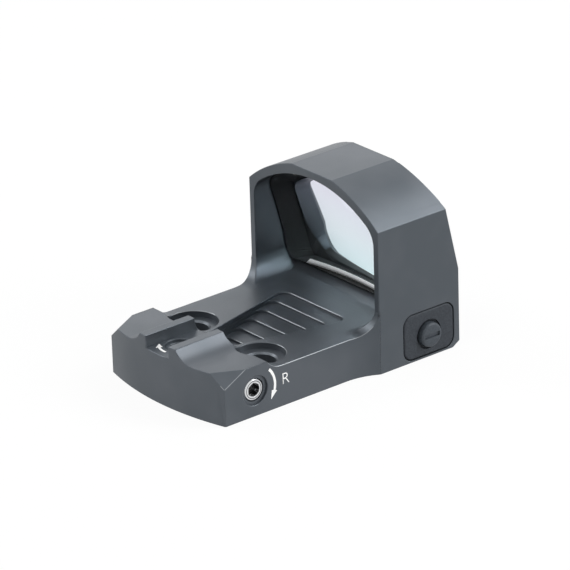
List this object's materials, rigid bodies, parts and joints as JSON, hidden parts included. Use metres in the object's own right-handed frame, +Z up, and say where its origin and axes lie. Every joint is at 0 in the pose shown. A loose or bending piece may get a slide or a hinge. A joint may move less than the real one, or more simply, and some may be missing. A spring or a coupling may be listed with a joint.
{
  "type": "compact reflex red dot sight",
  "caption": "Compact open reflex red dot sight in black anodised aluminium, with a tinted window, screw adjusters for windage and elevation, side buttons and a coin cell.",
  "frame": {"origin": "middle of the bounding box's bottom, on the mounting face", "axes": "+Y forward along the line of sight, +X to the user's right, +Z up"},
  "size_m": [0.0282, 0.0414, 0.0253],
  "materials": {
    "anodised": "satin",
    "steel": "satin",
    "glass": "gloss",
    "rubber": "matte",
    "pad": "matte",
    "brass": "satin",
    "board": "satin",
    "plastic": "satin",
    "amber": "satin",
    "pale": "gloss"
  },
  "bodies": {
    "sight": {"housing": "anodised", "lens_rear_element": "glass", "lens_front_element": "glass", "lens_seal": "rubber", "windage_oring": "rubber", "elevation_oring": "rubber", "windage_spring": "steel", "elevation_spring": "steel", "emitter_flex": "amber", "circuit_board": "board", "control_chip": "plastic", "left_switch": "plastic", "right_switch": "plastic", "left_button_pad": "pad", "right_button_pad": "pad", "negative_contact": "brass", "positive_contact": "brass", "cell_can": "steel", "cell_gasket": "plastic", "cell_lid": "steel", "bottom_cover": "anodised", "cover_gasket": "rubber", "cover_screws": "steel"},
    "windage_dial": {"windage_screw": "steel", "windage_clip": "steel"},
    "windage_carriage": {"windage_nut": "brass"},
    "elevation_dial": {"elevation_screw": "steel", "elevation_clip": "steel"},
    "elevation_carriage": {"elevation_slider": "steel"},
    "dot": {"emitter_holder": "plastic", "emitter": "pale", "emitter_mask": "plastic"},
    "left_key": {"left_button_key": "pad", "left_plunger": "pale"},
    "right_key": {"right_button_key": "pad", "right_plunger": "pale"},
    "cap_seal": {"battery_cap_oring": "rubber"},
    "cap": {"battery_cap": "anodised"}
  },
  "joints": [
    {"name": "windage_turn", "type": "hinge", "parent": "sight", "child": "windage_dial", "pos_m": [0.012, -0.0138, 0.00365], "axis": [1, 0, 0], "range_deg": [-361, 361]},
    {"name": "windage_travel", "type": "slide", "parent": "sight", "child": "windage_carriage", "axis": [1, 0, 0], "range_m": [-0.00035, 0.00035], "deforming": ["windage_spring"]},
    {"name": "elevation_turn", "type": "hinge", "parent": "sight", "child": "elevation_dial", "pos_m": [0, -0.0167, 0.00715], "axis": [0, 0, 1], "range_deg": [-361, 361]},
    {"name": "elevation_travel", "type": "slide", "parent": "sight", "child": "elevation_carriage", "axis": [0, 0, 1], "range_m": [-0.00035, 0.00035], "deforming": ["elevation_spring"]},
    {"name": "dot_travel", "type": "slide", "parent": "elevation_carriage", "child": "dot", "axis": [1, 0, 0], "range_m": [-0.00036, 0.00036]},
    {"name": "left_press", "type": "slide", "parent": "sight", "child": "left_key", "axis": [1, 0, 0], "range_m": [0, 0.0003], "stiffness_N_per_m": 1000},
    {"name": "right_press", "type": "slide", "parent": "sight", "child": "right_key", "axis": [-1, 0, 0], "range_m": [0, 0.0003], "stiffness_N_per_m": 1000},
    {"name": "cap_travel", "type": "slide", "parent": "sight", "child": "cap_seal", "axis": [0, 0, -1], "range_m": [0, 0.003]},
    {"name": "cap_turn", "type": "hinge", "parent": "cap_seal", "child": "cap", "pos_m": [0, 0.0101, 0], "axis": [0, 0, -1], "range_deg": [0, 1441]}
  ],
  "couplings": [
    {"joint": "windage_turn", "follows": "windage_travel", "rad_per_m": -17952},
    {"joint": "dot_travel", "follows": "windage_travel", "ratio": 1},
    {"joint": "elevation_turn", "follows": "elevation_travel", "rad_per_m": -17952},
    {"joint": "cap_turn", "follows": "cap_travel", "rad_per_m": 8377.6}
  ]
}
